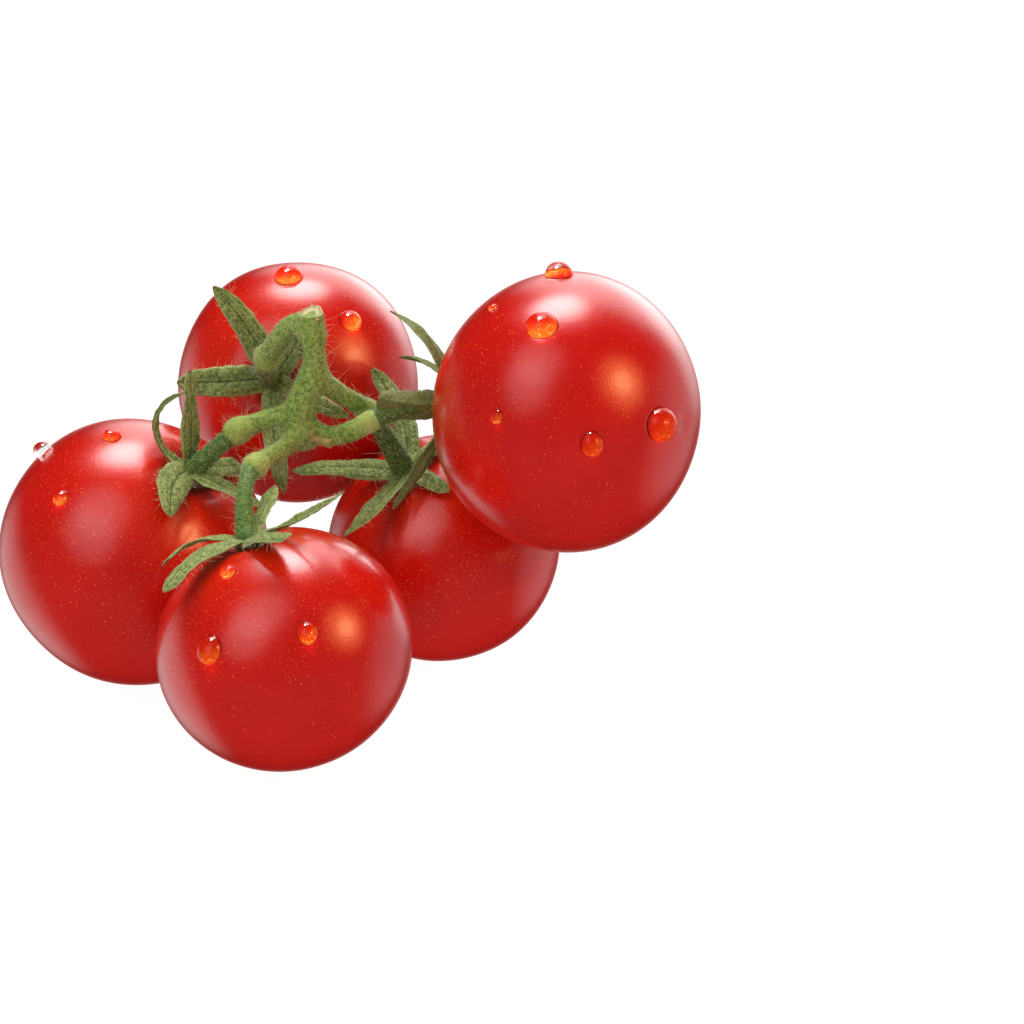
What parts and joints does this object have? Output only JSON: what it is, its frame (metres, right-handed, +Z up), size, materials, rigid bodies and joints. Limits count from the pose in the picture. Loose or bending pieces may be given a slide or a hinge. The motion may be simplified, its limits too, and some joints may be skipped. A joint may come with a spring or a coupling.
{
  "type": "truss of tomatoes",
  "caption": "Truss of round red cocktail tomatoes on a forked green stem, each with its own stalk and star of sepals, lying as picked.",
  "frame": {"origin": "centre of the truss's footprint, on the surface that it lies on", "axes": "+Z up, +X along the longest side of the truss, towards the raised fruit"},
  "size_m": [0.1006, 0.0929, 0.0633],
  "materials": {
    "tomato_skin": "thin waxy tomato skin, soft gloss, saturated red with fine orange specks near the shoulders",
    "stem_skin": "matte light green stem under short pale fuzz, with paler swollen knuckles and a dry tan cut end",
    "sepal_leaf": "matte grey-green leaf, hairy, with a darker underside and pale brown tips"
  },
  "bodies": {
    "root": {"fruit_1": "tomato_skin", "fruit_2": "tomato_skin", "fruit_3": "tomato_skin", "fruit_4": "tomato_skin", "fruit_5": "tomato_skin", "stem": "stem_skin", "calyx_1": "sepal_leaf", "calyx_2": "sepal_leaf", "calyx_3": "sepal_leaf", "calyx_4": "sepal_leaf", "calyx_5": "sepal_leaf"}
  },
  "joints": []
}
